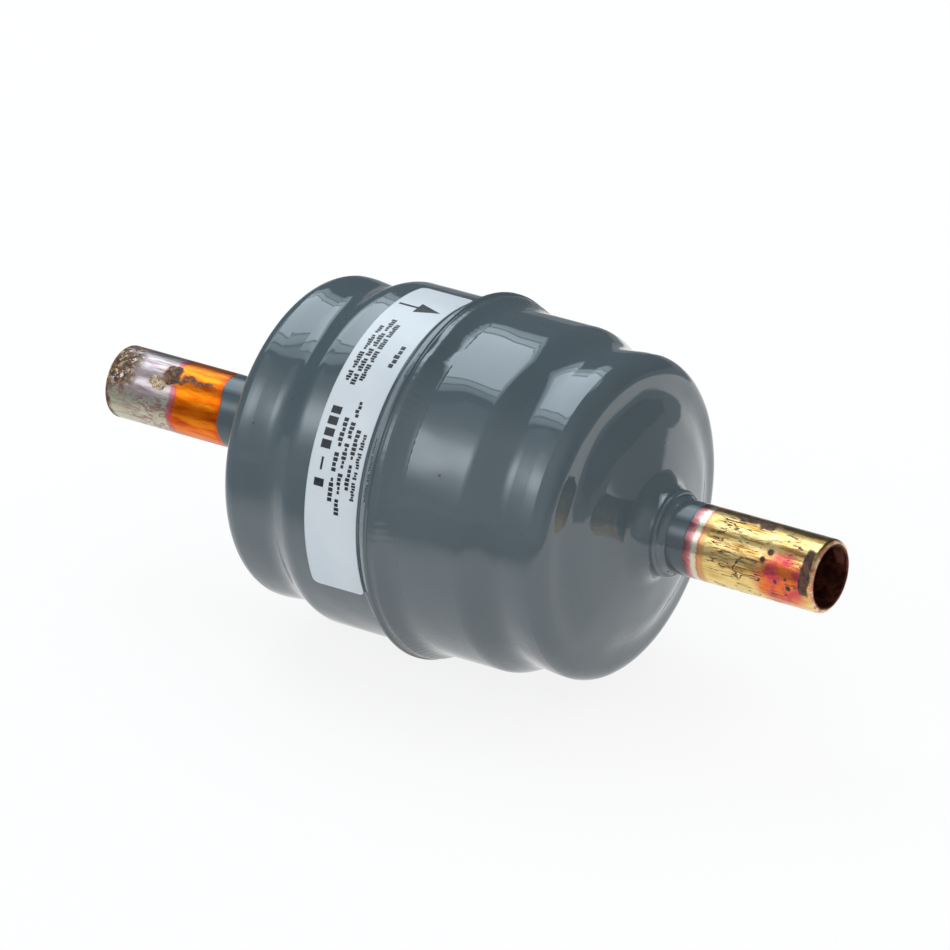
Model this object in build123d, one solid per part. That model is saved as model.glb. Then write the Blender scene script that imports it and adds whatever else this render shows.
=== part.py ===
from build123d import *
from math import atan, cos, sin, tan
import os

# Filter drier for a refrigerant line: two drawn steel halves with a copper stub in each end and a
# moulded desiccant core inside. +X is the flow, from inlet to outlet, +Z is up, and the origin is the
# middle of the overall length, on the axis. Sizes are in millimetres. In an outline, a point is
# (distance from the girth seam along the axis, radius).

# Driving dimensions
OVERALL_LENGTH = 142.8
SHEET = 1.2  # wall of both drawn halves
TUBE_OD = 12.7
TUBE_WALL = 1.07
TUBE_INNER_END = 38.6
TUBE_SHOULDER = 41.7  # full diameter from here to the mouth, just clear of the neck's lip
BRAZE_GAP = 0.2  # the end in the neck is sized down by this all round, for the brazing film
RIM_ROUND = 0.85  # outer edge at a stub's mouth, rolled over by the tube cutter
RIM_INNER_EDGE = 0.15

# Outside of one drawn half, from the mid barrel to the neck
MID_RADIUS = 29.9
SHOULDER = (17.4, MID_RADIUS)
WAIST = (22.4, 27.35)
BARREL_CREST = (28.6, 28.12)
CORNER = (32.0, 27.75)
VALLEY = (32.9, 22.3)
BULGE = (34.95, 18.0)
NECK_RADIUS = TUBE_OD / 2 + SHEET
NECK_FOOT = (37.9, NECK_RADIUS)
NECK_END = (41.6, NECK_RADIUS)
SHELL_ROUNDS = [4.5, 6.0, 12.0, 3.6, 8.0, 15.0, 3.5]  # one for each point from shoulder to neck foot
NECK_LIP_ROUND = 0.45
GROOVE_DEPTH = 0.8  # between the neck's lip and the stub
GROOVE_WIDTH = 0.6
BRAZE_DEPTH = 1.1  # from the lip down to where the film ends
BRAZE_FILL = 0.5  # how much of the groove's depth the alloy takes

# Girth joint: the inlet half's mouth flares into a lip, the outlet half's mouth sits in it, and the
# weld fills the step between them
LIP_EDGE = 0.1  # from the seam, towards the inlet
LIP_RADIUS = 32.0
LIP_FOOT = 2.6
LIP_FOOT_ROUND = 0.8
LIP_BREAK = 0.25  # chamfer on the lip's outer corner
WELD_START = 0.5  # down the lip's cut edge from its outer corner
WELD_DIP = (0.75, 31.3)
WELD_CREST = (1.45, 31.4)
WELD_FLANK = (2.9, 30.45)
WELD_TOE = (4.3, MID_RADIUS)
WELD_ROUNDS = [0.7, 0.5, 3.0]  # dip, crest, flank

# Label round the inlet half: its ends along the axis, and its angles above the front (-Y)
LABEL_ENDS = (-13.3, -2.9)
LABEL_ANGLES = (-24.0, 101.5)
LABEL_THICKNESS = 0.1
LABEL_CORNER = 1.2

# Inside: the core and what holds it
CORE_RADIUS = 24.0
CORE_LENGTH = 47.5
CORE_HOLE_RADIUS = 6.0
CORE_HOLE_DEPTH = 36.0
CORE_EDGE = 1.5
PLATE = 1.0  # sheet of the pressed plates
PRESS_ROUND = 2.0
OUTLET_PLATE_RADIUS = 24.0
OUTLET_PLATE_DEPTH = 3.0
GASKET = 1.5
GASKET_RADII = (8.0, 23.0)
PAD_RADIUS = 11.0
PAD_THICKNESS = 2.0
SCREEN_THICKNESS = 0.5
SCREEN_HOLE_RADIUS = 1.0
SCREEN_RINGS = [(3.2, 6), (6.8, 12)]  # radius and count of each ring of holes
RING_SHEET = 0.8
RING_LIP = 2.0
CUP_DEPTH = 5.0
CUP_CLEARANCE = 0.2
FLOW_HOLE_RADIUS = 2.0
FLOW_RINGS = [(5.5, 5), (19.0, 10)]
SPRING_SHEET = 0.8
SPRING_RING = (9.0, 12.5)  # radii of the spring's flat ring
SPRING_PAD = (18.6, 20.6)  # radii between which its fingers lie on the dome
FINGER_BEND = 1.5
FINGERS = 6
FINGER_GAP = 3.0
FINGER_ROOT = 13.5  # radius where the gaps begin

half_length = OVERALL_LENGTH / 2
tube_radius = TUBE_OD / 2
seat_radius = tube_radius - BRAZE_GAP
bore_radius = tube_radius - TUBE_WALL
lip_angle = atan((LIP_RADIUS - MID_RADIUS) / (LIP_FOOT - LIP_EDGE))
lip_inner_edge = (SHEET * sin(lip_angle) - LIP_EDGE, LIP_RADIUS - SHEET * cos(lip_angle))
mouth = lip_inner_edge[0] - (lip_inner_edge[1] - MID_RADIUS) / tan(lip_angle)  # of the outlet half


def dome_inner_x(start, end, radius):
    """Distance from the seam of the dome's inner face at a radius, behind one straight run outside."""
    lean = atan((end[0] - start[0]) / (start[1] - end[1]))
    return start[0] + (start[1] - radius) * tan(lean) - SHEET / cos(lean)


def revolved(*outline):
    """Solid of revolution about X from a closed outline of straight runs."""
    return revolve(make_face(Polyline(*outline, close=True)), Axis.X)


def round_holes(radius, depth, rings):
    """Holes along X in rings, each ring as (its radius, its count)."""
    spots = [spot for ring in rings for spot in PolarLocations(*ring)]
    return [Plane.YZ * spot * Cylinder(radius, depth) for spot in spots]


def drawn_half(mouth_outline, mouth_rounds):
    """Drawn sheet-steel half on the +X side: mouth, barrels, dome and neck, one wall thick."""
    barrel = [SHOULDER, WAIST, BARREL_CREST]
    dome = [CORNER, VALLEY, BULGE, NECK_FOOT]
    outline = mouth_outline + barrel + dome + [NECK_END]
    with BuildPart() as half:
        with BuildSketch():
            with BuildLine():
                FilletPolyline(*outline, radius=mouth_rounds + SHELL_ROUNDS)
                offset(amount=SHEET, side=Side.RIGHT)
            make_face()
        revolve(axis=Axis.X)
        lip = half.edges().group_by(Axis.X)[-1].sort_by(SortBy.RADIUS)
        fillet(lip[-1], NECK_LIP_ROUND)
        groove = half.faces().filter_by(GeomType.PLANE).sort_by(Axis.X)[-1]
        inner = half.edges().group_by(Axis.X)[-1].sort_by(SortBy.RADIUS)[0]
        chamfer(inner, GROOVE_WIDTH, GROOVE_DEPTH, reference=groove)
    return half.part


def inlet_shell():
    """Inlet half, whose mouth flares into the lip of the girth joint."""
    flared = drawn_half([(LIP_EDGE, LIP_RADIUS), (LIP_FOOT, MID_RADIUS)], [LIP_FOOT_ROUND])
    lip_edge = flared.edges().filter_by(GeomType.CIRCLE).sort_by(SortBy.RADIUS)[-1]
    return mirror(chamfer(lip_edge, LIP_BREAK), Plane.YZ)


def outlet_shell():
    """Outlet half, whose plain mouth sits in the lip."""
    return drawn_half([(mouth, MID_RADIUS)], [])


def girth_weld():
    """Fillet weld from the lip's cut edge down to the outlet half, with its root in the lip."""
    root = (mouth, MID_RADIUS)
    start = (WELD_START * sin(lip_angle) - LIP_EDGE, LIP_RADIUS - WELD_START * cos(lip_angle))
    joint = Polyline(WELD_TOE, root, lip_inner_edge, start)
    face = FilletPolyline(start, WELD_DIP, WELD_CREST, WELD_FLANK, WELD_TOE, radius=WELD_ROUNDS)
    return revolve(make_face([joint, face]), Axis.X)


def outlet_tube():
    """Copper stub in the outlet neck, its mouth rolled over by the tube cutter."""
    tube = revolved(
        (TUBE_INNER_END, bore_radius), (half_length, bore_radius), (half_length, tube_radius),
        (TUBE_SHOULDER, tube_radius), (TUBE_SHOULDER, seat_radius), (TUBE_INNER_END, seat_radius),
    )
    mouth_edges = tube.edges().group_by(Axis.X)[-1].sort_by(SortBy.RADIUS)
    tube = fillet(mouth_edges[-1], RIM_ROUND)
    mouth_edges = tube.edges().group_by(Axis.X)[-1].sort_by(SortBy.RADIUS)
    return chamfer(mouth_edges[0], RIM_INNER_EDGE)


def outlet_braze_ring():
    """Brazing alloy, as a film between the stub and the neck that rises into the groove."""
    film_end = NECK_END[0] - BRAZE_DEPTH
    groove_bottom = NECK_END[0] - GROOVE_DEPTH
    top = groove_bottom + GROOVE_DEPTH * BRAZE_FILL
    return revolved(
        (film_end, seat_radius), (film_end, tube_radius), (groove_bottom, tube_radius),
        (top, tube_radius + GROOVE_WIDTH * BRAZE_FILL), (top, seat_radius),
    )


def label():
    """Paper label on the inlet half, one strip with rounded corners."""
    left, right = LABEL_ENDS
    low, high = LABEL_ANGLES
    strip = make_face(Polyline(
        (left, MID_RADIUS), (right, MID_RADIUS),
        (right, MID_RADIUS + LABEL_THICKNESS), (left, MID_RADIUS + LABEL_THICKNESS), close=True,
    ))
    wrapped = Rot(X=180 - high) * revolve(strip, Axis.X, revolution_arc=high - low)
    corners = wrapped.edges().filter_by(lambda edge: edge.length < 2 * LABEL_THICKNESS)
    return fillet(corners, LABEL_CORNER)


# Stack inside, from the outlet plate back to the spring
plate_face = dome_inner_x(CORNER, VALLEY, OUTLET_PLATE_RADIUS) - OUTLET_PLATE_DEPTH
plate_back = plate_face + PLATE
core_outlet = plate_face - GASKET
core_inlet = core_outlet - CORE_LENGTH
screen_face = plate_back + PAD_THICKNESS
screen_back = screen_face + SCREEN_THICKNESS


def pressed(outline, bend, sheet, side):
    """Round pressing from the outline of one face, its bend radius, and the side that the sheet is on."""
    with BuildPart() as pressing:
        with BuildSketch():
            with BuildLine():
                FilletPolyline(*outline, radius=bend)
                offset(amount=sheet, side=side)
            make_face()
        revolve(axis=Axis.X)
    return pressing.part


def outlet_plate():
    """Pressed plate that stands on the outlet dome and carries the core."""
    face = [(plate_face, CORE_HOLE_RADIUS), (plate_face, OUTLET_PLATE_RADIUS)]
    rim = (plate_face + OUTLET_PLATE_DEPTH, OUTLET_PLATE_RADIUS)
    return pressed([*face, rim], PRESS_ROUND, PLATE, Side.RIGHT)


def spring_plate():
    """Pressed cup over the core's inlet end, with flow holes inside and outside the spring's ring."""
    rim = CORE_RADIUS + CUP_CLEARANCE + PLATE
    face = [(core_inlet - PLATE, 0), (core_inlet - PLATE, rim)]
    cup = pressed([*face, (core_inlet + CUP_DEPTH, rim)], PRESS_ROUND, PLATE, Side.RIGHT)
    return cup - [Pos(X=core_inlet) * hole for hole in round_holes(FLOW_HOLE_RADIUS, 3 * PLATE, FLOW_RINGS)]


def desiccant_core():
    """Moulded desiccant block with a blind centre hole that opens to the outlet."""
    hole_end = core_outlet - CORE_HOLE_DEPTH
    core = revolved(
        (core_inlet, 0), (core_inlet, CORE_RADIUS), (core_outlet, CORE_RADIUS),
        (core_outlet, CORE_HOLE_RADIUS), (hole_end, CORE_HOLE_RADIUS), (hole_end, 0),
    )
    ends = core.edges().filter_by(GeomType.CIRCLE).sort_by(SortBy.RADIUS)[-2:]
    return chamfer(ends, CORE_EDGE)


def core_gasket():
    """Soft ring that seals the core against the outlet plate."""
    inner, outer = GASKET_RADII
    return revolved((core_outlet, inner), (core_outlet, outer), (plate_face, outer), (plate_face, inner))


def filter_pad():
    """Felt disc behind the outlet plate."""
    return revolved((plate_back, 0), (plate_back, PAD_RADIUS), (screen_face, PAD_RADIUS), (screen_face, 0))


def outlet_screen():
    """Punched safety screen behind the pad."""
    disc = revolved((screen_face, 0), (screen_face, PAD_RADIUS), (screen_back, PAD_RADIUS), (screen_back, 0))
    holes = round_holes(SCREEN_HOLE_RADIUS, 3 * SCREEN_THICKNESS, SCREEN_RINGS)
    return disc - [Pos(X=screen_face) * hole for hole in holes]


def screen_ring():
    """Pressed ring that holds the pad and the screen on the outlet plate."""
    wall = PAD_RADIUS + RING_SHEET
    return revolved(
        (plate_back, PAD_RADIUS), (plate_back, wall + RING_LIP), (plate_back + RING_SHEET, wall + RING_LIP),
        (plate_back + RING_SHEET, wall), (screen_back + RING_SHEET, wall),
        (screen_back + RING_SHEET, PAD_RADIUS - RING_LIP), (screen_back, PAD_RADIUS - RING_LIP),
        (screen_back, PAD_RADIUS),
    )


def core_spring():
    """Pressed spring: a flat ring on the spring plate, and fingers that lean out to bear on the dome."""
    back = PLATE - core_inlet + SPRING_SHEET
    pad = [(dome_inner_x(VALLEY, BULGE, radius), radius) for radius in SPRING_PAD]
    outline = [(back, radius) for radius in SPRING_RING] + pad
    cone = pressed(outline, FINGER_BEND, SPRING_SHEET, Side.LEFT)
    gap = Box(2 * (SPRING_PAD[1] - FINGER_ROOT), FINGER_GAP, half_length)
    gaps = [Plane.YZ * spot * Pos(Z=back) * gap for spot in PolarLocations(SPRING_PAD[1], FINGERS)]
    return cone - gaps


def mirrored(build):
    """The inlet's copy of a piece of the outlet."""
    return mirror(build(), Plane.YZ)


pieces = {
    "inlet_shell": inlet_shell(),
    "outlet_shell": outlet_shell(),
    "girth_weld": girth_weld(),
    "inlet_tube": mirrored(outlet_tube),
    "outlet_tube": outlet_tube(),
    "inlet_braze_ring": mirrored(outlet_braze_ring),
    "outlet_braze_ring": outlet_braze_ring(),
    "label": label(),
    "desiccant_core": desiccant_core(),
    "core_spring": mirrored(core_spring),
    "spring_plate": spring_plate(),
    "core_gasket": core_gasket(),
    "outlet_plate": outlet_plate(),
    "filter_pad": filter_pad(),
    "outlet_screen": outlet_screen(),
    "screen_ring": screen_ring(),
}
os.makedirs("parts", exist_ok=True)
for name, piece in pieces.items():
    export_step(piece, f"parts/{name}.step")
    print(name, round(piece.volume, 1))
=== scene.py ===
# %% [markdown]
# # A filter drier, from bare solids to a finished picture
#
# A filter drier sits in the liquid line of a fridge or an air conditioner and holds back water, acid
# and grit. From outside it is a welded steel body in glossy blue-grey enamel, with a paper label round
# one half and a bare copper stub at each end, stained by the heat of the brazing torch.
#
# The solids come from CAD, and they stay as they are: other people fit pipes to them. Everything that
# makes them look real is added here in Blender, in this order: the enamel, the weld, the paint round
# the necks, the two coppers, the pieces inside, the label with its print, and last the studio.

# %% Load the solids
import random
from math import cos, pi, radians, sin, tau

import bpy
from mathutils import Matrix, Vector


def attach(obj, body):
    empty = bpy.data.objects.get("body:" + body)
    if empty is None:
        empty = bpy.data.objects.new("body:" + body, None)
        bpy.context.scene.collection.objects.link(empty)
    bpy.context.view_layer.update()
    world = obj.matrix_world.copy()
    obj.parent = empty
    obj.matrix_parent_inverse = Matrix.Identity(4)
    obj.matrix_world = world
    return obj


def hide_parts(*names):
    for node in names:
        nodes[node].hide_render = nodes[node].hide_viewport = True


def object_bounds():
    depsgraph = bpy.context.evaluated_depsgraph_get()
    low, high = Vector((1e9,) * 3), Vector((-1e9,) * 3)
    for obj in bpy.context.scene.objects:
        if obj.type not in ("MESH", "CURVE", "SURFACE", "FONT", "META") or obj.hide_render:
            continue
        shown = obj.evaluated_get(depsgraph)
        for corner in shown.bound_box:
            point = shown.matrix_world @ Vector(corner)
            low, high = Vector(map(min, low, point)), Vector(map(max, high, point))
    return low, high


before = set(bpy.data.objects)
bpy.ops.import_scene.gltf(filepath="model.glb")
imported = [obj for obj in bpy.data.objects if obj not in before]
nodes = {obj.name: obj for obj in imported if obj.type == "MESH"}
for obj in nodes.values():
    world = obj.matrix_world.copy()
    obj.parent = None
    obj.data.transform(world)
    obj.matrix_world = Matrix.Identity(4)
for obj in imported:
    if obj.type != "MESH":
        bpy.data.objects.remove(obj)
cad_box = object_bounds()
print(len(nodes), "nodes:", ", ".join(sorted(nodes)))
print("box of the solids in metres:", [[round(v, 4) for v in corner] for corner in cad_box])

# %% [markdown]
# ## The tools of the bench
#
# A finish in Blender is a graph of shader nodes. It could be wired by hand in the Shader Editor, but
# then nobody can read it as text or make it again. Typed out node by node it is very long, so a few
# helpers keep it short: one adds any node and fills its inputs, with a number, a colour or another
# node's output, and one adds a Math node, so that a formula can be read as a formula.

# %% Helpers: new material, new node
MM = 0.001  # Blender counts in metres, and the drier is drawn in millimetres


def new_finish(name):
    """A material with nothing on it yet, its node tree and its Principled shader."""
    material = bpy.data.materials.new(name)
    material.use_nodes = True
    return material, material.node_tree, material.node_tree.nodes["Principled BSDF"]


def feed(tree, socket, value):
    """Links another node's output to a socket, or sets the socket to a plain value."""
    if isinstance(value, bpy.types.NodeSocket):
        tree.links.new(value, socket)
    else:
        socket.default_value = value


def add(tree, kind, settings=None, output=0, **inputs):
    """Adds a shader node, sets its properties and inputs, and gives one of its outputs."""
    node = tree.nodes.new("ShaderNode" + kind)
    for key, value in (settings or {}).items():
        setattr(node, key, value)
    for key, value in inputs.items():
        feed(tree, node.inputs[key.replace("_", " ")], value)
    return node.outputs[output]


print("node helpers ready")

# %% [markdown]
# Colours are easiest to judge as a screen shows them, from 0 to 255. Blender mixes light, which is
# linear, so each colour is turned into linear light once, as it is written down.


# %% Helpers: arithmetic and colour
def calc(tree, operation, *values):
    """A Math node: calc(tree, "ADD", a, b)."""
    node = tree.nodes.new("ShaderNodeMath")
    node.operation = operation
    for socket, value in zip(node.inputs, values):
        feed(tree, socket, value)
    return node.outputs[0]


def flip(tree, mask):
    """1 where a mask is 0, and 0 where it is 1."""
    return calc(tree, "SUBTRACT", 1.0, mask)


def both(tree, *masks):
    """1 where every mask is 1."""
    result = masks[0]
    for mask in masks[1:]:
        result = calc(tree, "MULTIPLY", result, mask)
    return result


def either(tree, *masks):
    """The largest of several masks."""
    result = masks[0]
    for mask in masks[1:]:
        result = calc(tree, "MAXIMUM", result, mask)
    return result


def srgb(red, green, blue):
    """A colour as a screen shows it, 0 to 255, in linear light."""
    linear = [c / 12.92 if c <= 0.04045 else ((c + 0.055) / 1.055) ** 2.4
              for c in (red / 255, green / 255, blue / 255)]
    return (*linear, 1.0)


def mix(tree, factor, first, second):
    """The first colour where the factor is 0, the second where it is 1."""
    node = tree.nodes.new("ShaderNodeMix")
    node.data_type = "RGBA"
    feed(tree, node.inputs[0], factor)
    feed(tree, node.inputs[6], first)
    feed(tree, node.inputs[7], second)
    return node.outputs[2]


def ramp(tree, factor, stops):
    """A Color Ramp from (position, colour) stops."""
    node = tree.nodes.new("ShaderNodeValToRGB")
    elements = node.color_ramp.elements
    while len(elements) < len(stops):
        elements.new(0.5)
    for element, (position, colour) in zip(elements, stops):
        element.position = position
        element.color = colour
    feed(tree, node.inputs[0], factor)
    return node.outputs[0]


print("mid grey on a screen,", 128, ", is", round(srgb(128, 128, 128)[0], 3), "in linear light")

# %% [markdown]
# ## Where a point lies on the drier
#
# Everything on a drier is round about the X axis, so a mark is easiest to place by two numbers: how
# far along the axis it is, in millimetres, and how far round, in degrees up from the front. A picture
# wrapped round the metal would need a UV map and would blur close up. Object coordinates and one
# arctangent give both numbers exactly, and every stain and edge below is built on them.


# %% Surface coordinates
def surface_place(tree):
    """In millimetres and degrees: point, distance along X, angle above the front, radius."""
    point = add(tree, "TexCoord", output="Object")
    scaled = tree.nodes.new("ShaderNodeVectorMath")
    scaled.operation = "SCALE"
    feed(tree, scaled.inputs[0], point)
    scaled.inputs["Scale"].default_value = 1 / MM
    parts = tree.nodes.new("ShaderNodeSeparateXYZ")
    tree.links.new(scaled.outputs[0], parts.inputs[0])
    along, y, z = parts.outputs
    turn = calc(tree, "ARCTAN2", z, calc(tree, "MULTIPLY", y, -1.0))
    angle = calc(tree, "MULTIPLY", turn, 180 / pi)
    square = calc(tree, "MULTIPLY_ADD", y, y, calc(tree, "MULTIPLY", z, z))
    return scaled.outputs[0], along, angle, calc(tree, "SQRT", square)


def stretched(tree, point, *factors):
    """The point with its X, Y and Z scaled, so that noise runs out in one direction."""
    node = tree.nodes.new("ShaderNodeVectorMath")
    node.operation = "MULTIPLY"
    feed(tree, node.inputs[0], point)
    node.inputs[1].default_value = factors
    return node.outputs[0]


def noise(tree, point, scale, detail=2.0, roughness=0.5, distortion=0.0):
    """Smooth noise about 0.5, whose scale is in cycles per millimetre."""
    return add(tree, "TexNoise", Vector=point, Scale=scale, Detail=detail, Roughness=roughness,
               Distortion=distortion)


def between(tree, value, low, high):
    """0 up to low, 1 from high, and smooth from one to the other."""
    node = tree.nodes.new("ShaderNodeMapRange")
    node.interpolation_type = "SMOOTHSTEP"
    feed(tree, node.inputs[0], value)
    feed(tree, node.inputs[1], low)
    feed(tree, node.inputs[2], high)
    return node.outputs[0]


def bump(tree, shader, height, depth_mm):
    """Bump on a shader, from a height of 0 to 1 that stands for a real depth in millimetres."""
    normal = add(tree, "Bump", Height=height, Distance=depth_mm * MM)
    tree.links.new(normal, shader.inputs["Normal"])


print("surface coordinates ready")

# %% [markdown]
# ## Enamel on the drawn steel
#
# The body is dipped in a stoving enamel, a dark blue-grey with a hard gloss. A flat colour under a
# sharp reflection looks like plastic. Three things tell the eye that this is paint on pressed steel.
# The sheet itself is never quite true, so long, slow waves bend what it reflects. The enamel flows
# out with orange peel, a finer ripple. Dust that fell in before it set leaves a few raised nibs, and
# here and there one has a brown halo. All three are heights in millimetres and share one bump. The
# gloss itself is a low roughness, clouded a little, as handling leaves it.


# %% Enamel
ENAMEL_DEEP, ENAMEL_PALE = srgb(72, 85, 91), srgb(78, 90, 96)
ENAMEL_IOR = 1.75  # stoving enamel mirrors a little more than common paint, which has about 1.5
NIB_HEIGHT = 0.05  # of a speck of dust under the enamel, in millimetres


def enamel(name, sheet_wave, peel):
    """Glossy blue-grey enamel over sheet that waves, with orange peel, both in millimetres."""
    material, tree, shader = new_finish(name)
    point, *_ = surface_place(tree)
    drift = between(tree, noise(tree, point, 0.03), 0.3, 0.7)
    tone = mix(tree, drift, ENAMEL_DEEP, ENAMEL_PALE)
    cells = add(tree, "TexVoronoi", {"feature": "F1"}, Vector=point, Scale=0.16)
    few = between(tree, noise(tree, point, 0.06, 0.0), 0.56, 0.6)
    nib = both(tree, flip(tree, between(tree, cells, 0.02, 0.05)), few)
    halo = both(tree, flip(tree, between(tree, cells, 0.03, 0.1)), few)
    tone = mix(tree, calc(tree, "MULTIPLY", halo, 0.2), tone, srgb(92, 78, 66))
    feed(tree, shader.inputs["Base Color"], mix(tree, nib, tone, srgb(62, 58, 54)))
    cloud = noise(tree, point, 0.2)
    feed(tree, shader.inputs["Roughness"], calc(tree, "MULTIPLY_ADD", cloud, 0.05, 0.03))
    shader.inputs["IOR"].default_value = ENAMEL_IOR
    waves = noise(tree, point, 0.075, 1.0)
    ripple = calc(tree, "MULTIPLY", noise(tree, point, 0.3, 1.0), peel / sheet_wave)
    wavy = calc(tree, "ADD", waves, ripple)
    height = calc(tree, "MULTIPLY_ADD", nib, NIB_HEIGHT / sheet_wave, wavy)
    bump(tree, shader, height, sheet_wave)
    return material


def dress(node, material):
    """Gives a CAD node's object one finish."""
    for material_slot in nodes[node].material_slots:
        material_slot.material = material
    print(node, "wears", material.name)


body_enamel = enamel("body_enamel", 0.6, 0.01)
for half in ("inlet_shell", "outlet_shell"):
    dress(half, body_enamel)

# %% [markdown]
# ## The weld
#
# One run of weld in the step behind the flared lip joins the two halves. From CAD it comes perfectly
# even. A real bead is laid round by a torch: it breathes in height and width, it is finely rippled,
# and where it started and stopped it has a lump and a dip. Bump mapping can't change an outline seen
# against the light, and this bead makes the outline at the top, so it is built again as a mesh.
#
# The way is the lathe's: a list of (distance along, radius) pairs is the section, and it is set down
# again and again round the axis. A smooth function of the angle swells or thins each one. Its waves
# go a whole number of times round the circle, so the end meets the start.


# %% Helper: a ring turned from sections
def turned_ring(name, section_at, count):
    """A closed ring of sections, each given in millimetres by section_at(angle in degrees)."""
    verts = []
    for i in range(count):
        degrees = 360 * i / count
        a = radians(degrees)
        verts += [(x * MM, -r * cos(a) * MM, r * sin(a) * MM) for x, r in section_at(degrees)]
    size = len(verts) // count
    faces = []
    for i in range(count):
        here, there = i * size, (i + 1) % count * size
        for j in range(size):
            k = (j + 1) % size
            faces.append((here + j, here + k, there + k, there + j))
    mesh = bpy.data.meshes.new(name)
    mesh.from_pydata(verts, [], faces)
    mesh.polygons.foreach_set("use_smooth", [True] * len(faces))
    mesh.validate()
    piece = bpy.data.objects.new(name, mesh)
    bpy.context.collection.objects.link(piece)
    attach(piece, "root")
    print(name, "has", 2 * len(faces), "triangles")
    return piece


def circling(degrees, terms):
    """A sum of sines that close on themselves: each term is (turns, size, shift)."""
    return sum(size * sin(turns * radians(degrees) + shift) for turns, size, shift in terms)


def near(degrees, centre, reach):
    """1 at the centre, falling smoothly to 0 at the reach on either side, round the circle."""
    away = abs((degrees - centre + 180) % 360 - 180) / reach
    return 0.0 if away >= 1 else (1 - away * away) ** 2


print("lathe ready")

# %% [markdown]
# The bead's section is a hook. Its root fills the step behind the lip, and its face rolls over and
# runs out along the other half. It dips under the enamel there at a slope of a few degrees, so its
# end still shows as a faint line where the gloss mirrors a bright edge. The face swells and drifts by
# a tenth or two of a millimetre all the way round. At one place the torch stopped and started again,
# which left a lump, a dip and a smaller lump.

# %% Weld bead
BEAD_SECTIONS = 720
BEAD_ROOT = [(5.5, 29.8), (-0.73, 29.9), (0.672, 31.08)]
BEAD_FACE = [(0.22, 31.6), (0.42, 31.42), (0.62, 31.34), (0.85, 31.33), (1.1, 31.37), (1.35, 31.38),
             (1.6, 31.3), (1.9, 31.12), (2.2, 30.93), (2.6, 30.69), (3.0, 30.47), (3.4, 30.28),
             (3.8, 30.13), (4.25, 30.01), (4.7, 29.94), (5.1, 29.905), (5.5, 29.885)]
BEAD_SWELL = [(3, 0.03, 0.4), (7, 0.025, 2.0), (13, 0.02, 1.1), (23, 0.012, 3.0)]
BEAD_DRIFT = [(2, 0.08, 1.0), (5, 0.06, 0.2), (11, 0.05, 2.6), (19, 0.03, 0.7)]
BEAD_RIPPLES = [(150, 0.012, 0.0), (97, 0.006, 1.0)]
TORCH_STOP = [(76, 7, 0.16), (67, 5, -0.22), (60, 5, 0.1)]  # angle, reach, height


def bead_section(degrees):
    """The bead's section at one angle: its face swollen and moved along, its root as it is."""
    swell = circling(degrees, BEAD_SWELL) + circling(degrees, BEAD_RIPPLES)
    swell += sum(size * near(degrees, centre, reach) for centre, reach, size in TORCH_STOP)
    drift = circling(degrees, BEAD_DRIFT) + 0.35 * near(degrees, 70, 9)
    face = []
    for i, (x, r) in enumerate(BEAD_FACE):
        share = sin(pi * i / (len(BEAD_FACE) - 1))
        face.append((x + drift * share, r + swell * share))
    return BEAD_ROOT + face


weld_bead = turned_ring("weld_bead", bead_section, BEAD_SECTIONS)
weld_bead.data.materials.append(enamel("weld_enamel", 0.4, 0.03))
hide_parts("girth_weld")

# %% [markdown]
# ## Paint round the necks
#
# Each neck ends in a lip with a narrow groove of brazing alloy inside it. The drier was painted after
# it was brazed, so the enamel ran into the groove and left a soft, uneven fillet there. It is a ring
# like the bead: its outer face goes from the lip down to the copper, and waves a little.

# %% Paint fillets
FILLET_FACE = [(41.15, 7.3), (41.45, 7.18), (41.62, 6.95), (41.75, 6.72), (42.0, 6.55), (42.4, 6.43),
               (42.9, 6.365)]
FILLET_ROOT = [(42.9, 6.3), (41.2, 6.42), (40.95, 6.9)]
FILLET_SECTIONS = 144


def fillet_section(side, shift):
    """Section of a neck's paint fillet, on the side of the outlet (1) or the inlet (-1)."""
    def at(degrees):
        swell = circling(degrees, [(2, 0.05, shift), (5, 0.04, 2 * shift), (9, 0.025, 1.0)])
        face = []
        for i, (x, r) in enumerate(FILLET_FACE):
            share = sin(pi * i / (len(FILLET_FACE) - 1))
            face.append((side * (x + 2 * swell * share), r + 0.5 * swell * share))
        section = face + [(side * x, r) for x, r in FILLET_ROOT]
        return section if side > 0 else section[::-1]
    return at


for name, side, shift in (("outlet_neck_paint", 1, 0.6), ("inlet_neck_paint", -1, 2.2)):
    fillet = turned_ring(name, fillet_section(side, shift), FILLET_SECTIONS)
    fillet.data.materials.append(body_enamel)

# %% [markdown]
# ## Masks for stains
#
# Copper that was heated in air is covered in films and scale, one over another. Each is painted by a
# mask: a number that is 1 where the stain lies and 0 elsewhere. An edge drawn in plain coordinates
# would be a ruler's edge, so a coordinate is first shaken by noise. The helpers give a ragged edge,
# a ragged oval, and the thin outline that a dried drop or a lifted flake leaves.


# %% Masks
def shaken(tree, value, point, scale, size, detail=4.0):
    """A coordinate moved about by noise, so that an edge drawn in it is ragged."""
    moved = calc(tree, "SUBTRACT", noise(tree, point, scale, detail), 0.5)
    return calc(tree, "MULTIPLY_ADD", moved, size, value)


def oval(tree, along, angle, centre, reach):
    """0 at the centre of an oval, 1 on its edge and more outside, in mm along and degrees round."""
    across = calc(tree, "DIVIDE", calc(tree, "SUBTRACT", along, centre[0]), reach[0])
    around = calc(tree, "DIVIDE", calc(tree, "SUBTRACT", angle, centre[1]), reach[1])
    square = calc(tree, "MULTIPLY_ADD", across, across, calc(tree, "MULTIPLY", around, around))
    return calc(tree, "SQRT", square)


def inside(tree, distance, edge=0.12):
    """1 inside an oval, fading over its edge."""
    return flip(tree, between(tree, distance, 1.0 - edge, 1.0 + edge))


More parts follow.
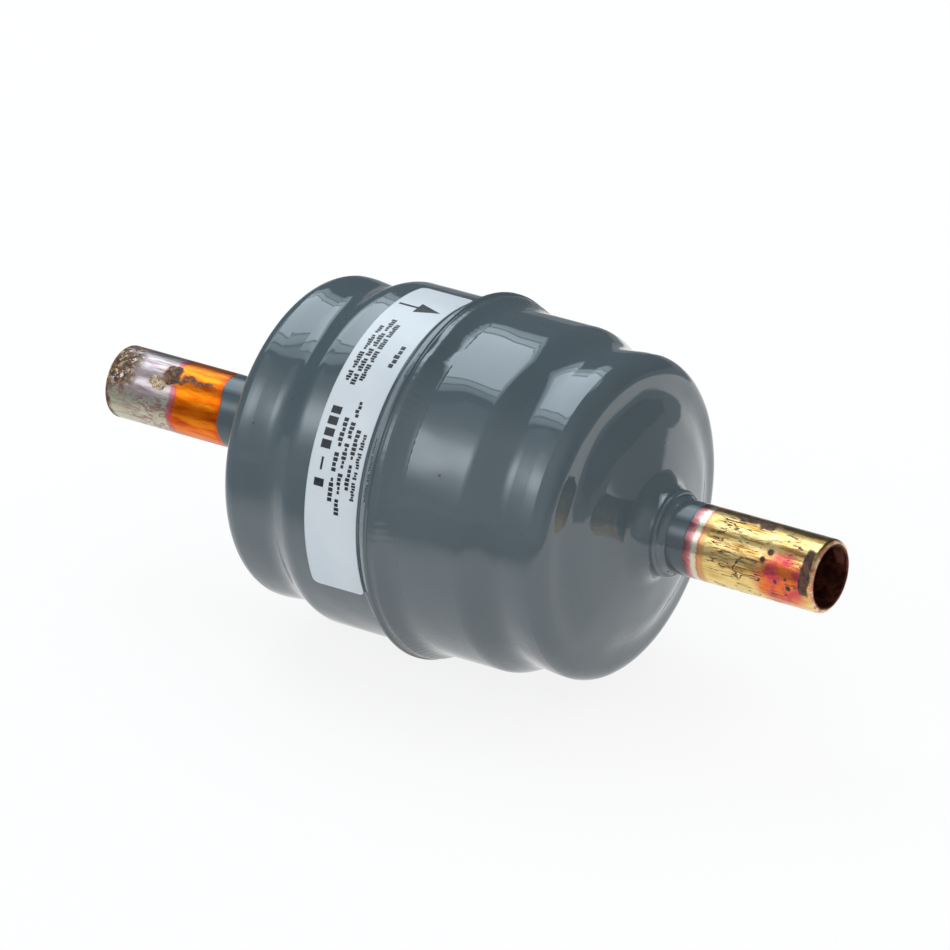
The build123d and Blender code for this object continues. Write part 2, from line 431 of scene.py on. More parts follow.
def outline(tree, value, middle, width):
    """1 in a thin band about one value."""
    off = calc(tree, "ABSOLUTE", calc(tree, "SUBTRACT", value, middle))
    return flip(tree, between(tree, off, width * 0.5, width))


def blotches(tree, point, scale, low, high, detail=5.0):
    """Noise cut into blotches with soft edges."""
    return between(tree, noise(tree, point, scale, detail, 0.6), low, high)


print("masks ready")

# %% [markdown]
# ## The inlet stub
#
# Read from the joint outwards, the heat is written on this stub. Enamel runs a few millimetres on to
# the copper. Next to it the metal ran hottest and took a vivid orange film, with a red fringe at both
# ends. Beyond that it is a silvery pink, streaked along the tube where it was wiped, and greenish
# with plum-coloured mottling underneath. Flux and scale left brown and beige crusts on top and round
# the open end. The layers go on in the order in which they formed. Oxide films are thin, so the metal
# stays metallic under them. Crust and paint are not metal, and take the metallic away.


# %% Paint and bore, shared by both stubs
ENAMEL_TONE = srgb(75, 87, 93)
BORE_WALL = (5.5, 5.8)  # radii in mm between which the bore's soot gives way to the outside


def finished_copper(tree, shader, tone, rough, crust, painted, point, radius, depth_mm):
    """Last layers of a stub: the soot inside its bore and the enamel at its foot."""
    bore = flip(tree, between(tree, radius, *BORE_WALL))
    soot = mix(tree, blotches(tree, point, 0.5, 0.4, 0.6), srgb(70, 34, 26), srgb(120, 62, 44))
    tone = mix(tree, bore, tone, soot)
    feed(tree, shader.inputs["Base Color"], mix(tree, painted, tone, ENAMEL_TONE))
    dull = either(tree, crust, painted, calc(tree, "MULTIPLY", bore, 0.3))
    feed(tree, shader.inputs["Metallic"], flip(tree, dull))
    rough = calc(tree, "MULTIPLY_ADD", bore, 0.2, calc(tree, "MULTIPLY_ADD", crust, 0.35, rough))
    rough = calc(tree, "MULTIPLY", rough, calc(tree, "MULTIPLY_ADD", painted, -0.7, 1.0))
    feed(tree, shader.inputs["Roughness"], rough)
    grain = noise(tree, stretched(tree, point, 0.3, 1.0, 1.0), 1.4, 4.0)
    bare_grain = calc(tree, "MULTIPLY", grain, flip(tree, painted))
    skin = calc(tree, "MULTIPLY_ADD", painted, 1.2, bare_grain)
    pitted = calc(tree, "MULTIPLY", crust, noise(tree, point, 1.8, 4.0))
    bump(tree, shader, calc(tree, "MULTIPLY_ADD", pitted, 2.0, skin), depth_mm)


print("last layers of a stub ready")

# %% [markdown]
# The films come first. Silver-pink and green are two colour ramps over one noise, stretched along the
# tube, so that both follow the same drawing lines. The shaken angle picks silver above and green
# below. Orange takes over at a shaken distance, with a thin plum fringe where it starts, and it
# deepens to red at the foot.


# %% Copper of the inlet stub
ORANGE_FROM, FRINGE_AT, FOOT_FLUSH = (-58.7, -57.9), -58.5, (-49.8, -48.4)  # mm along the axis
LOWER_SIDE = (25.0, 70.0)  # degrees between which the lower side of the stub turns into the upper


def inlet_copper():
    """Copper with silver-pink, green and orange films, and what the crusts go on with."""
    material, tree, shader = new_finish("inlet_copper_tint")
    point, along, angle, radius = surface_place(tree)
    edge = shaken(tree, along, point, 0.3, 2.2)
    round_edge = shaken(tree, angle, point, 0.35, 45.0)
    streaks = noise(tree, stretched(tree, point, 0.12, 1.0, 1.0), 0.8, 5.0, 0.65)
    silver = ramp(tree, streaks, [(0.32, srgb(112, 90, 90)), (0.45, srgb(172, 152, 152)),
                                  (0.58, srgb(198, 186, 186)), (0.7, srgb(150, 124, 128))])
    green = ramp(tree, streaks, [(0.3, srgb(146, 134, 112)), (0.5, srgb(204, 200, 178)),
                                 (0.7, srgb(172, 168, 146))])
    mottle = noise(tree, stretched(tree, point, 0.6, 1.0, 1.0), 0.8, 4.0, 0.6, 1.5)
    plum = both(tree, between(tree, mottle, 0.47, 0.56), between(tree, edge, -70.0, -62.0))
    plum = calc(tree, "MULTIPLY", plum, 0.7)
    green = mix(tree, plum, green, srgb(146, 88, 100))
    tone = mix(tree, flip(tree, between(tree, round_edge, 2.0, 20.0)), silver, green)
    burnt = noise(tree, stretched(tree, point, 0.2, 1.0, 1.0), 0.7, 4.0)
    hot = ramp(tree, burnt, [(0.3, srgb(178, 62, 16)), (0.45, srgb(226, 104, 14)),
                             (0.6, srgb(240, 136, 26)), (0.72, srgb(214, 92, 20))])
    lower = flip(tree, between(tree, angle, *LOWER_SIDE))
    edge = calc(tree, "MULTIPLY_ADD", lower, -0.9, edge)
    tone = mix(tree, between(tree, edge, *ORANGE_FROM), tone, hot)
    fringe = calc(tree, "MULTIPLY", outline(tree, edge, FRINGE_AT, 0.8), 0.7)
    tone = mix(tree, fringe, tone, srgb(190, 74, 88))
    foot = calc(tree, "MULTIPLY", between(tree, edge, *FOOT_FLUSH), 0.7)
    tone = mix(tree, foot, tone, srgb(206, 60, 18))
    return material, tree, shader, tone, (point, along, angle, radius, edge, round_edge)


print("films of the inlet stub ready")

# %% [markdown]
# The crusts lie on the films: a drop of flux with a trail behind it, a pale flake beside it, and
# broken scale round the open end. They could be modelled, but they are a few hundredths thick and
# don't change the tube's outline. So each is a mask with a brown, a rough value and a deep bump.
# Last comes the enamel, whose edge on the copper is wavy because it was dipped.


# %% Crusts of the inlet stub
INLET_PAINT = (-48.8, -48.5)  # mm along the axis between which the enamel ends


def inlet_crusts(material, tree, shader, tone, place):
    """Brown and beige crusts over the films, then paint and bore."""
    point, along, angle, radius, edge, round_edge = place
    drop = oval(tree, edge, round_edge, (-59.0, 57.0), (1.9, 14.0))
    trail = oval(tree, edge, round_edge, (-54.6, 54.0), (4.4, 8.0))
    flake = oval(tree, edge, round_edge, (-61.9, 40.0), (1.5, 8.0))
    scale = oval(tree, edge, round_edge, (-70.2, 62.0), (4.0, 52.0))
    scale = both(tree, inside(tree, scale, 0.35), blotches(tree, point, 0.8, 0.4, 0.46))
    lumps = both(tree, scale, blotches(tree, point, 1.2, 0.53, 0.58))
    lip = flip(tree, between(tree, shaken(tree, along, point, 0.5, 1.8), -70.6, -69.8))
    halo = either(tree, outline(tree, drop, 1.12, 0.1), outline(tree, flake, 1.1, 0.16))
    tone = mix(tree, calc(tree, "MULTIPLY", halo, 0.5), tone, srgb(186, 132, 66))
    brown = mix(tree, blotches(tree, point, 1.3, 0.42, 0.62), srgb(74, 48, 36), srgb(132, 94, 62))
    beige = mix(tree, blotches(tree, point, 1.5, 0.4, 0.6), srgb(120, 92, 62), srgb(216, 194, 146))
    spilt = either(tree, inside(tree, drop), calc(tree, "MULTIPLY", inside(tree, trail, 0.3), 0.85),
                   scale, lip)
    tone = mix(tree, spilt, tone, brown)
    pale = either(tree, lumps, both(tree, inside(tree, flake), blotches(tree, point, 1.1, 0.4, 0.5)))
    tone = mix(tree, pale, tone, beige)
    crust = either(tree, calc(tree, "MULTIPLY", spilt, 0.8), pale)
    lower = flip(tree, between(tree, angle, *LOWER_SIDE))
    reach = shaken(tree, calc(tree, "MULTIPLY_ADD", lower, -1.2, along), point, 0.18, 1.4, 3.0)
    painted = between(tree, reach, *INLET_PAINT)
    finished_copper(tree, shader, tone, 0.32, crust, painted, point, radius, 0.05)
    return material


dress("inlet_tube", inlet_crusts(*inlet_copper()))

# %% [markdown]
# ## The outlet stub
#
# The other stub was heated with more flux on it. Its film is gold, paling to silver-yellow by the
# paint, with two thin pink rings where the film was just thick enough to cancel green light. Towards
# the mouth it is flushed magenta and orange, with a dark brown collar behind the rim. Flux dried on
# top in a brown streak, and elsewhere in drops, whose dark outlines and long cracks follow the
# drawing lines of the tube. A crack is where a smooth noise crosses one value: the same idea as a
# contour on a map, and it gives a fine line that wanders and closes, as real ones do.


# %% Copper of the outlet stub
RINGS_SPAN = (45.9, 50.9)  # mm along the axis from the enamel to the end of the pink rings


def outlet_copper():
    """Copper with a gold film, pink rings by the paint and a magenta flush at the mouth."""
    material, tree, shader = new_finish("outlet_copper_tint")
    point, along, angle, radius = surface_place(tree)
    edge = shaken(tree, along, point, 0.3, 1.0)
    round_edge = shaken(tree, angle, point, 0.35, 40.0)
    drawn = stretched(tree, point, 0.14, 1.0, 1.0)
    streaks = noise(tree, drawn, 0.8, 5.0, 0.65)
    gold = ramp(tree, streaks, [(0.3, srgb(120, 78, 36)), (0.42, srgb(196, 148, 78)),
                                (0.54, srgb(234, 206, 142)), (0.68, srgb(190, 142, 72))])
    grime = blotches(tree, stretched(tree, point, 0.22, 1.0, 1.0), 1.5, 0.54, 0.62)
    gold = mix(tree, calc(tree, "MULTIPLY", grime, 0.55), gold, srgb(98, 66, 38))
    # Painted shade: from 55 degrees round upwards the top of the stub is mixed towards a darker olive.
    high = calc(tree, "MULTIPLY", between(tree, round_edge, 55.0, 95.0), 0.6)
    tone = mix(tree, high, gold, srgb(138, 116, 62))
    # Painted reflection: the underside is mixed towards a pale bright yellow, standing in for the
    # white floor that the gold would mirror.
    low = calc(tree, "MULTIPLY", flip(tree, between(tree, round_edge, -32.0, 12.0)), 0.7)
    tone = mix(tree, low, tone, srgb(250, 222, 142))
    flush = inside(tree, oval(tree, edge, round_edge, (65.6, -4.0), (4.8, 46.0)), 0.35)
    red = mix(tree, blotches(tree, point, 0.35, 0.42, 0.6), srgb(206, 54, 84), srgb(232, 112, 44))
    tone = mix(tree, calc(tree, "MULTIPLY", flush, 0.92), tone, red)
    dotted = shaken(tree, edge, point, 2.4, 0.8)
    rings = ramp(tree, between(tree, dotted, *RINGS_SPAN), [
        (0.0, srgb(96, 88, 90)), (0.1, srgb(146, 98, 100)), (0.28, srgb(206, 142, 138)),
        (0.42, srgb(216, 212, 196)), (0.62, srgb(218, 208, 164)), (0.72, srgb(200, 118, 110)),
        (0.84, srgb(206, 160, 98)),
    ])
    tone = mix(tree, flip(tree, between(tree, edge, 50.0, 50.8)), tone, rings)
    speckle = both(tree, flip(tree, between(tree, edge, 47.4, 48.2)),
                   blotches(tree, point, 1.8, 0.52, 0.6))
    tone = mix(tree, calc(tree, "MULTIPLY", speckle, 0.6), tone, srgb(176, 72, 84))
    return material, tree, shader, tone, (point, along, angle, radius, edge, round_edge, drawn)


print("films of the outlet stub ready")

# %% [markdown]
# The marks on the gold are many. The round drops are a list of places and sizes, and one line of code
# makes a mask of each. All dark marks then join in one mask, because they are the same burnt flux:
# one rust colour, rough and not metallic. The rim is cut bare and is lighter than the films, and its
# pale cream, half matte, is also a painted highlight for the gleam of the cut edge.


# %% Flux, cracks and collar of the outlet stub
OUTLET_PAINT, COLLAR_FROM, COLLAR_TO = (46.2, 46.4), (68.8, 69.1), (70.7, 71.0)  # mm along the axis
BRIGHT_RIM = (71.0, 71.25)
DROPS = [((62.7, 41.0), 0.6), ((61.6, 27.0), 0.5), ((67.0, -7.5), 0.5), ((64.5, -1.7), 0.35),
         ((66.4, 6.0), 0.3), ((57.4, 150.0), 0.5), ((60.8, 168.0), 0.35), ((55.0, -100.0), 0.45)]


def outlet_crusts(material, tree, shader, tone, place):
    """Dark streak, drops, cracks and collar over the films, then paint and bore."""
    point, along, angle, radius, edge, round_edge, drawn = place
    streak = inside(tree, oval(tree, edge, round_edge, (57.0, 88.0), (4.8, 9.0)), 0.25)
    tail = both(tree, inside(tree, oval(tree, edge, round_edge, (56.6, 74.0), (4.6, 12.0)), 0.3),
                outline(tree, noise(tree, drawn, 1.3, 2.0), 0.5, 0.03))
    spread = shaken(tree, round_edge, point, 0.6, 26.0)
    pool = oval(tree, shaken(tree, edge, point, 0.6, 1.6), spread, (59.0, 6.0), (2.7, 16.0))
    pool_lines = both(tree, inside(tree, pool, 0.3),
                      outline(tree, noise(tree, drawn, 0.9, 3.0), 0.48, 0.03))
    cracks = both(tree, outline(tree, noise(tree, drawn, 0.75, 3.0, 0.6), 0.52, 0.014),
                  blotches(tree, point, 0.16, 0.5, 0.56, 2.0), between(tree, edge, 50.5, 52.0))
    drops = [inside(tree, oval(tree, along, angle, middle, (size, size * 9.0)), 0.35)
             for middle, size in DROPS]
    ragged_angle = shaken(tree, angle, point, 0.4, 22.0)
    round_collar = both(tree, between(tree, ragged_angle, -14.0, -6.0),
                        flip(tree, between(tree, ragged_angle, 56.0, 64.0)))
    far_collar = between(tree, shaken(tree, angle, point, 0.3, 30.0), 118.0, 128.0)
    ragged = shaken(tree, along, point, 0.6, 1.3)
    collar = both(tree, between(tree, ragged, *COLLAR_FROM),
                  flip(tree, between(tree, ragged, *COLLAR_TO)),
                  either(tree, round_collar, far_collar))
    pool_edge = both(tree, outline(tree, pool, 1.0, 0.07),
                     blotches(tree, point, 0.3, 0.4, 0.46, 2.0))
    soil = either(tree, streak, tail, pool_edge, pool_lines, cracks, collar, *drops)
    rust = mix(tree, blotches(tree, point, 1.0, 0.4, 0.6), srgb(58, 34, 30), srgb(104, 66, 48))
    tone = mix(tree, soil, tone, rust)
    # Painted highlight, in part: the bare rim gets a pale cream and is made half matte, so it looks
    # lit whatever it mirrors.
    rim = between(tree, along, *BRIGHT_RIM)
    bare_rim_and_highlight = mix(tree, blotches(tree, point, 0.8, 0.45, 0.55),
                 srgb(238, 212, 166), srgb(212, 134, 112))
    tone = mix(tree, rim, tone, bare_rim_and_highlight)
    reach = shaken(tree, along, point, 0.25, 0.7, 2.0)
    painted = flip(tree, between(tree, reach, *OUTLET_PAINT))
    crust = either(tree, calc(tree, "MULTIPLY", soil, 0.8), calc(tree, "MULTIPLY", rim, 0.45))
    finished_copper(tree, shader, tone, 0.24, crust, painted, point, radius, 0.04)
    return material


dress("outlet_tube", outlet_crusts(*outlet_copper()))

# %% [markdown]
# ## Brazing alloy and the pressed pieces inside
#
# The alloy is a dull grey metal. The pressings inside are zinc plated, and the spring is blued steel.
# They are shut in, yet anyone who cuts the model open will see them, so they get their own metal: its
# colour wanders between two tones, and a fine grain breaks up the gloss.


# %% Plain metals
def plain_metal(name, colour, second, scale, roughness, depth):
    """Metal whose colour wanders between two tones, with a fine grain."""
    material, tree, shader = new_finish(name)
    point, *_ = surface_place(tree)
    cloud = noise(tree, point, scale, 4.0)
    tone = mix(tree, between(tree, cloud, 0.35, 0.65), colour, second)
    feed(tree, shader.inputs["Base Color"], tone)
    shader.inputs["Metallic"].default_value = 1.0
    feed(tree, shader.inputs["Roughness"], calc(tree, "MULTIPLY_ADD", cloud, 0.2, roughness))
    bump(tree, shader, noise(tree, point, scale * 4, 3.0), depth)
    return material


alloy = plain_metal("braze_alloy_dull", srgb(126, 122, 112), srgb(96, 94, 90), 0.8, 0.4, 0.05)
for ring in ("inlet_braze_ring", "outlet_braze_ring"):
    dress(ring, alloy)
zinc = plain_metal("zinc_plate", srgb(176, 178, 180), srgb(150, 152, 156), 0.3, 0.3, 0.01)
for pressing in ("spring_plate", "outlet_plate", "outlet_screen", "screen_ring"):
    dress(pressing, zinc)
blued = plain_metal("blued_spring", srgb(92, 96, 118), srgb(76, 74, 84), 0.4, 0.25, 0.01)
dress("core_spring", blued)

# %% [markdown]
# ## Core, gasket and felt
#
# The core is a cast block of drying beads, the gasket a fibre mat, the pad a felt. None of them
# shines. What they have instead is a coarse grain, so the bump is deep and the roughness high.


# %% Powdery and fibrous pieces
def plain_matte(name, colour, second, scale, depth):
    """Matte material whose colour wanders between two tones, with a coarse grain."""
    material, tree, shader = new_finish(name)
    point, *_ = surface_place(tree)
    cloud = noise(tree, point, scale, 5.0)
    tone = mix(tree, between(tree, cloud, 0.35, 0.65), colour, second)
    feed(tree, shader.inputs["Base Color"], tone)
    shader.inputs["Roughness"].default_value = 0.9
    bump(tree, shader, noise(tree, point, scale * 3, 4.0), depth)
    return material


SOFT_PIECES = [
    ("desiccant_core", "moulded_desiccant", srgb(214, 200, 172), srgb(190, 172, 140), 1.2, 0.2),
    ("core_gasket", "gasket_fibre_mat", srgb(196, 188, 170), srgb(170, 160, 140), 2.0, 0.1),
    ("filter_pad", "polyester_felt", srgb(226, 222, 212), srgb(206, 200, 190), 3.0, 0.2),
]
for soft_node, *finish in SOFT_PIECES:
    dress(soft_node, plain_matte(*finish))

# %% [markdown]
# ## The label's paper
#
# The label is coated paper in a cool white, stuck round most of the front of the inlet half. It is
# nearly even, so its detail is small: a faint cloud in the colour, a satin coat, the grain of the
# paper, and edges that have picked up a little grey.


# %% Label paper
LABEL_LEFT, LABEL_RIGHT = -13.3, -2.9  # its edges along the axis
SOILED_EDGE = 0.25  # how far in the grey reaches


def label_paper():
    """Coated cool-white paper with slightly soiled edges."""
    material, tree, shader = new_finish("label_paper_coated")
    point, along, *_ = surface_place(tree)
    cloud = between(tree, noise(tree, point, 0.08, 3.0), 0.35, 0.65)
    tone = mix(tree, cloud, srgb(211, 217, 222), srgb(204, 211, 217))
    left = flip(tree, between(tree, along, LABEL_LEFT, LABEL_LEFT + SOILED_EDGE))
    right = between(tree, along, LABEL_RIGHT - SOILED_EDGE, LABEL_RIGHT)
    soiled = calc(tree, "MULTIPLY", either(tree, left, right), 0.35)
    feed(tree, shader.inputs["Base Color"], mix(tree, soiled, tone, srgb(150, 158, 166)))
    shader.inputs["Roughness"].default_value = 0.35
    bump(tree, shader, noise(tree, point, 2.5, 3.0), 0.008)
    return material


dress("label", label_paper())

# %% [markdown]
# ## Print on the label
#
# The label has an arrow for the direction of flow, and rows of small print. An image wrapped on the
# paper would blur close up. Here the ink is real geometry: each mark is a thin closed patch, drawn
# flat in millimetres along and degrees round, and rolled on to the paper's own cylinder so that it
# stands a few hundredths proud, as screen-printed ink does. Words, names and numbers stay off. Small
# plain blocks in word-long groups stand where they go, so the label has the right density of grey.


# %% Helpers: marks on a cylinder
PAPER_RADIUS = 30.0
INK = 0.03  # how far the ink stands proud
INK_ROOT = 0.02  # and how far it goes into the paper
INK_STEP = 2.0  # degrees of arc between cuts


def on_cylinder(x, degrees, radius):
    """A point of the unrolled surface, back on the cylinder, in metres."""
    a = radians(degrees)
    return (x * MM, -radius * cos(a) * MM, radius * sin(a) * MM)


def wrapped_mark(low, high, span_at):
    """One thin closed patch between two angles, whose ends along the axis are span_at(degrees)."""
    steps = max(1, round((high - low) / INK_STEP))
    verts = []
    for i in range(steps + 1):
        degrees = low + (high - low) * i / steps
        for radius in (PAPER_RADIUS + INK, PAPER_RADIUS - INK_ROOT):
            verts += [on_cylinder(x, degrees, radius) for x in span_at(degrees)]
    faces = []
    for i in range(steps):
        a, b = 4 * i, 4 * i + 4
        faces += [(a, a + 1, b + 1, b), (a + 3, a + 2, b + 2, b + 3),
                  (a + 2, a, b, b + 2), (a + 1, a + 3, b + 3, b + 1)]
    last = 4 * steps
    faces += [(0, 2, 3, 1), (last, last + 1, last + 3, last + 2)]
    return verts, faces


def ink_piece(name, marks, material):
    """One object from many marks."""
    verts, faces = [], []
    for mark_verts, mark_faces in marks:
        faces += [tuple(v + len(verts) for v in face) for face in mark_faces]
        verts += mark_verts
    mesh = bpy.data.meshes.new(name)
    mesh.from_pydata(verts, [], faces)
    mesh.validate()
    mesh.materials.append(material)
    piece = bpy.data.objects.new(name, mesh)
    bpy.context.collection.objects.link(piece)
    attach(piece, "root")
    print(name, len(marks), "marks,", 2 * len(faces), "triangles")
    return piece


print("ink stands", INK, "mm proud of the paper")

# %% [markdown]
# The ink isn't quite black. It is thin where the screen's mesh held it back, and has a slight gloss.


# %% Ink
def black_ink():
    """Black ink, a little thin in places."""
    material, tree, shader = new_finish("black_ink")
    point, *_ = surface_place(tree)
    thin = between(tree, noise(tree, point, 2.0, 4.0), 0.45, 0.7)
    feed(tree, shader.inputs["Base Color"], mix(tree, thin, srgb(24, 26, 32), srgb(44, 47, 55)))
    shader.inputs["Roughness"].default_value = 0.4
    bump(tree, shader, noise(tree, point, 4.0, 2.0), 0.004)
    return material


ink = black_ink()
print("mixed", ink.name)

# %% [markdown]
# A row of print is words, and a word is letters. The length of each word comes from a random
# generator with a fixed seed, so that the label is the same each time the script runs. Each letter is
# a block of its own, and some are a little shorter than the row is high, which is what makes a line
# of type look like type from a distance.


# %% Rows of blocks
def letters(middle, height, low, high, words, width, seed):
    """Marks for one row: groups of blocks, spread evenly from one angle to another."""
    draw = random.Random(seed)
    if words > 1:
        counts = [draw.randint(3, 7) for _ in range(words)]
    else:
        counts = [round((high - low) / width)]
    unit = (high - low) / (sum(counts) + words - 1)
    marks, at = [], low
    for count in counts:
        for _ in range(count):
            rise = draw.choice([0.0, 0.0, 0.22, 0.3]) * height
            drop = draw.choice([0.0, 0.0, 0.0, 0.2]) * height
            ends = (middle - height / 2 + rise, middle + height / 2 - drop)
            marks.append(wrapped_mark(at, at + unit * 0.76, lambda degrees, ends=ends: ends))
            at += unit
        at += unit
    return marks


def solid_bars(middle, height, spans):
    """Marks for a bold line: one bar for each (low, high) in degrees."""
    ends = (middle - height / 2, middle + height / 2)
    return [wrapped_mark(low, high, lambda degrees: ends) for low, high in spans]


ROWS = [  # middle and height in mm, from and to in degrees, words, width of a lone word's letter
    (-11.45, 0.95, 48.5, 72.0, 4, 1.2), (-10.15, 0.95, 47.5, 76.0, 5, 1.2),
    (-8.85, 0.9, 49.5, 74.0, 4, 1.2), (-5.0, 1.05, 56.5, 66.0, 1, 1.9),
    (-8.5, 0.85, 9.0, 37.0, 3, 1.2), (-7.0, 0.9, 5.0, 43.0, 5, 1.2),
    (-5.5, 0.85, 14.0, 34.0, 2, 1.2), (-4.15, 0.8, 11.0, 33.0, 4, 1.2),
]
BOLD_MIDDLE = -10.95
BOLD_BARS = [(13.0, 15.6), (25.4, 28.2), (29.4, 32.0), (33.2, 35.9), (36.9, 39.4)]
marks = []
for seed, (middle, height, low, high, words, width) in enumerate(ROWS):
    marks += letters(middle, height, low, high, words, width, seed + 3)
marks += solid_bars(BOLD_MIDDLE, 1.9, BOLD_BARS)
marks += solid_bars(BOLD_MIDDLE, 0.4, [(18.4, 22.6)])
ink_piece("label_print_rows", marks, ink)

# %% [markdown]
# The arrow points from the inlet to the outlet. Rolled out, it is a thin bar and a triangle. A mark's
# ends may change with the angle, so the triangle is one mark whose tip lies on the middle line.

# %% Arrow of flow
ARROW_ANGLE = 85.0
ARROW_TAIL, ARROW_NECK, ARROW_TIP = -12.5, -8.8, -4.3
HEAD_SPREAD = 2.9  # degrees from the middle line to a corner of the head
SHAFT_SPREAD = 0.45
HEAD_EDGE = 0.03  # what is left of the head's thickness at its corners, in mm
SHAFT_LAP = 0.2  # how far the shaft runs into the head


def head_span(degrees):
    """Ends of the arrow's head along the axis, at one angle."""
    share = min(1.0, abs(degrees - ARROW_ANGLE) / HEAD_SPREAD)
    return ARROW_NECK, ARROW_TIP - (ARROW_TIP - ARROW_NECK - HEAD_EDGE) * share


shaft = wrapped_mark(ARROW_ANGLE - SHAFT_SPREAD, ARROW_ANGLE + SHAFT_SPREAD,
                     lambda degrees: (ARROW_TAIL, ARROW_NECK + SHAFT_LAP))
head = [wrapped_mark(ARROW_ANGLE - HEAD_SPREAD, ARROW_ANGLE, head_span),
        wrapped_mark(ARROW_ANGLE, ARROW_ANGLE + HEAD_SPREAD, head_span)]
ink_piece("label_flow_arrow", [shaft] + head, ink)

# %% [markdown]
# ## The studio: a white floor that still takes a shadow
#
# The drier lies on a white sweep, and the picture's ground is white too. A floor lit until it is pure
# white would burn out the object with it. Instead the floor is an ordinary pale matte surface, which
# catches the shadow, and wherever the camera or a reflection looks at it, most of it is replaced by
# light of strength 1, which is white. Light Path tells which kind of ray is asking.
#
# A reflection is asked a second question: how far off is the spot that it shows? Only a round pool of
# floor by the drier mirrors as white. It gives the rim and the valley of the domes their pale rings.
# Past its soft edge the floor mirrors dim, as a table does whose light falls off, and dimmer at the
# back than in front. Without that, the domes would be one flat grey.


# %% Floor
def seen_directly(tree):
    """1 for rays from the camera, reflections and refractions, 0 for the light itself."""
    path = tree.nodes.new("ShaderNodeLightPath")
    rays = path.outputs
    mirrored = calc(tree, "MAXIMUM", rays["Is Glossy Ray"], rays["Is Transmission Ray"])
    return calc(tree, "MAXIMUM", rays["Is Camera Ray"], mirrored)


def stage_sheet(name, corners):
    """A flat four-cornered stage piece from its corners in metres."""
    mesh = bpy.data.meshes.new(name)
    mesh.from_pydata(corners, [], [(0, 1, 2, 3)])
    sheet = bpy.data.objects.new(name, mesh)
    bpy.context.collection.objects.link(sheet)
    return sheet


FLOOR = cad_box[0][2]
REACH = 4.0
SHADOW_SHARE = 0.14  # how much of the matte floor still shows
POOL_CENTRE, POOL_INNER, POOL_OUTER = (0.09, 0.09, 0), 0.19, 0.27  # metres
BACK_DIM, FRONT_DIM = (0.14, 0.15, 0.16, 1), (0.3, 0.33, 0.36, 1)  # the floor past the pool
floor = stage_sheet("floor", [(-REACH, -REACH, FLOOR), (REACH, -REACH, FLOOR), (REACH, REACH, FLOOR),
                              (-REACH, REACH, FLOOR)])
floor_white, tree, shader = new_finish("floor_white")
shader.inputs["Base Color"].default_value = (0.9, 0.9, 0.9, 1)
shader.inputs["Roughness"].default_value = 0.9
path = tree.nodes.new("ShaderNodeLightPath")
place = tree.nodes.new("ShaderNodeVectorMath")
place.operation = "DISTANCE"
place.inputs[1].default_value = POOL_CENTRE
tree.links.new(add(tree, "TexCoord", output="Object"), place.inputs[0])
past_pool = between(tree, place.outputs["Value"], POOL_INNER, POOL_OUTER)
unlit = both(tree, past_pool, path.outputs["Is Glossy Ray"])
spot = tree.nodes.new("ShaderNodeSeparateXYZ")
tree.links.new(add(tree, "TexCoord", output="Object"), spot.inputs[0])
in_front = flip(tree, between(tree, spot.outputs[1], -0.25, 0.25))
dusk = mix(tree, in_front, BACK_DIM, FRONT_DIM)
glow = tree.nodes.new("ShaderNodeEmission")
tree.links.new(mix(tree, unlit, (1, 1, 1, 1), dusk), glow.inputs["Color"])
blend = tree.nodes.new("ShaderNodeMixShader")
feed(tree, blend.inputs[0], calc(tree, "MULTIPLY", seen_directly(tree), 1.0 - SHADOW_SHARE))
tree.links.new(shader.outputs[0], blend.inputs[1])
tree.links.new(glow.outputs[0], blend.inputs[2])
tree.links.new(blend.outputs[0], tree.nodes["Material Output"].inputs["Surface"])
floor.data.materials.append(floor_white)
print("floor at", round(FLOOR, 4), "m")

# %% [markdown]
# ## The world: even light, white to the eye
#
# The world gives a weak, even fill from all round, and is plain white where it is seen.

# %% World
FILL = 0.9
world = bpy.data.worlds.new("studio")
bpy.context.scene.world = world
world.use_nodes = True
tree = world.node_tree
background = tree.nodes["Background"]
background.inputs["Color"].default_value = (1, 1, 1, 1)
strength = calc(tree, "MULTIPLY_ADD", seen_directly(tree), 1 - FILL, FILL)
feed(tree, background.inputs["Strength"], strength)
print("fill light", FILL)

# %% [markdown]
# ## The dark room round the sweep
#
# Gloss shows what stands round the object. With white on every side, enamel goes flat and grey. In a
# real studio the sweep is white, and above it is a dim room, which is what makes the dark sides of a
# glossy thing dark. So a plain dim wall stands round the set. Only reflections see it: the camera and
# the light pass through. It is dark behind the drier, and paler in front, where the room's light is.

# %% Room
ROOM_RADIUS, ROOM_HEIGHT, ROOM_SIDES = 3.0, 3.2, 48
BACK_WALL, FRONT_WALL = (0.1, 0.11, 0.12, 1), (0.46, 0.5, 0.54, 1)
rim = [(ROOM_RADIUS * cos(tau * i / ROOM_SIDES), ROOM_RADIUS * sin(tau * i / ROOM_SIDES))
       for i in range(ROOM_SIDES)]
verts = [(x, y, z) for z in (FLOOR, ROOM_HEIGHT) for x, y in rim]
faces = [(i, (i + 1) % ROOM_SIDES, ROOM_SIDES + (i + 1) % ROOM_SIDES, ROOM_SIDES + i)
         for i in range(ROOM_SIDES)]
faces.append(tuple(range(ROOM_SIDES, 2 * ROOM_SIDES)))
room_mesh = bpy.data.meshes.new("room")
room_mesh.from_pydata(verts, [], faces)
room = bpy.data.objects.new("room", room_mesh)
bpy.context.collection.objects.link(room)
for kind in ("camera", "diffuse", "transmission", "shadow", "volume_scatter"):
    setattr(room, "visible_" + kind, False)
room_dim, tree, shader = new_finish("room_dim")
wall_place = tree.nodes.new("ShaderNodeSeparateXYZ")
tree.links.new(add(tree, "TexCoord", output="Object"), wall_place.inputs[0])
towards_front = flip(tree, between(tree, wall_place.outputs["Y"], -2.8, 0.5))
grey = mix(tree, towards_front, BACK_WALL, FRONT_WALL)
